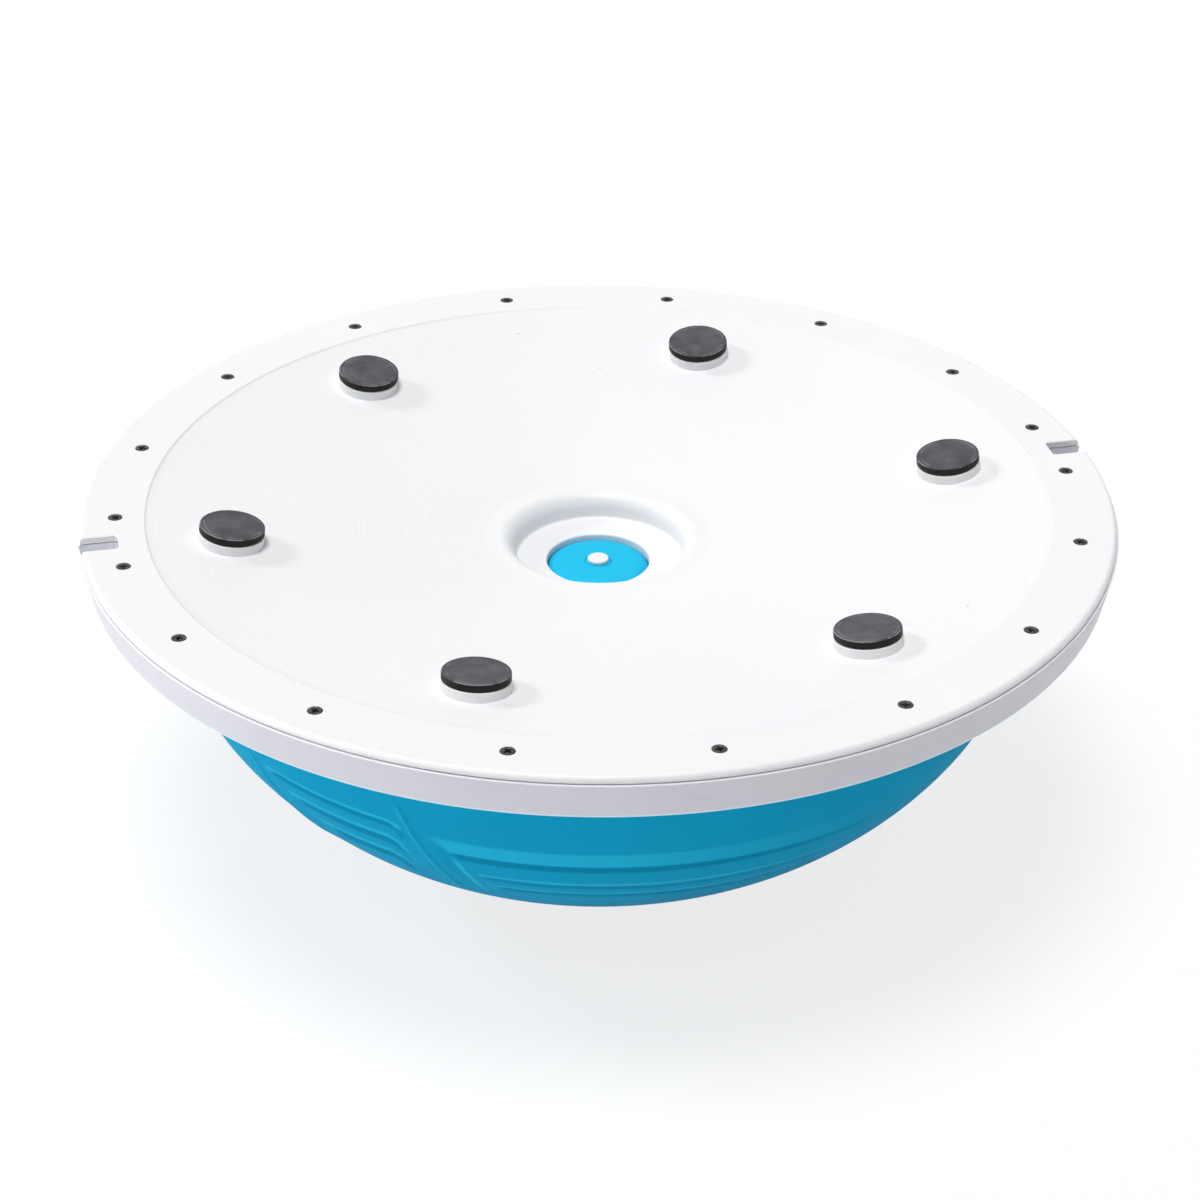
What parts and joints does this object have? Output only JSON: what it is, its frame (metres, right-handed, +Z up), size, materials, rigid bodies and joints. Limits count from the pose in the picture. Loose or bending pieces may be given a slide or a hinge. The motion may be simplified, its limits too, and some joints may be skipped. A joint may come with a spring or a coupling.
{
  "type": "half ball balance trainer",
  "caption": "Round platform with a dished face, rubber feet and a rim screwed down over an air-filled half ball that it rocks on; a plug closes the valve in the central recess.",
  "frame": {"origin": "centre of the dome's flat resting patch, on the floor", "axes": "+Z up through the platform, along the axis of the dome; X through the two notches in the rim"},
  "size_m": [0.583, 0.584, 0.2176],
  "materials": {
    "plate_white": "fine satin grain, moulded white",
    "rim_white": "satin, moulded grey-white",
    "dome_vinyl": "semi-gloss soft vinyl, cyan blue",
    "plug_white": "smooth satin",
    "foot_rubber": "matte black",
    "screw_black": "black coated steel"
  },
  "bodies": {
    "trainer": {"base_plate": "plate_white", "clamp_ring": "rim_white", "bladder": "dome_vinyl", "valve_seat": "dome_vinyl", "foot_1": "foot_rubber", "foot_2": "foot_rubber", "foot_3": "foot_rubber", "foot_4": "foot_rubber", "foot_5": "foot_rubber", "foot_6": "foot_rubber", "screw_01": "screw_black", "screw_02": "screw_black", "screw_03": "screw_black", "screw_04": "screw_black", "screw_05": "screw_black", "screw_06": "screw_black", "screw_07": "screw_black", "screw_08": "screw_black", "screw_09": "screw_black", "screw_10": "screw_black", "screw_11": "screw_black", "screw_12": "screw_black", "screw_13": "screw_black", "screw_14": "screw_black", "screw_15": "screw_black", "screw_16": "screw_black", "screw_17": "screw_black", "screw_18": "screw_black"},
    "plug": {"plug": "plug_white"}
  },
  "joints": [
    {"name": "plug_pull", "type": "slide", "parent": "trainer", "child": "plug", "axis": [0, 0, 1], "range_m": [0, 0.02]}
  ]
}
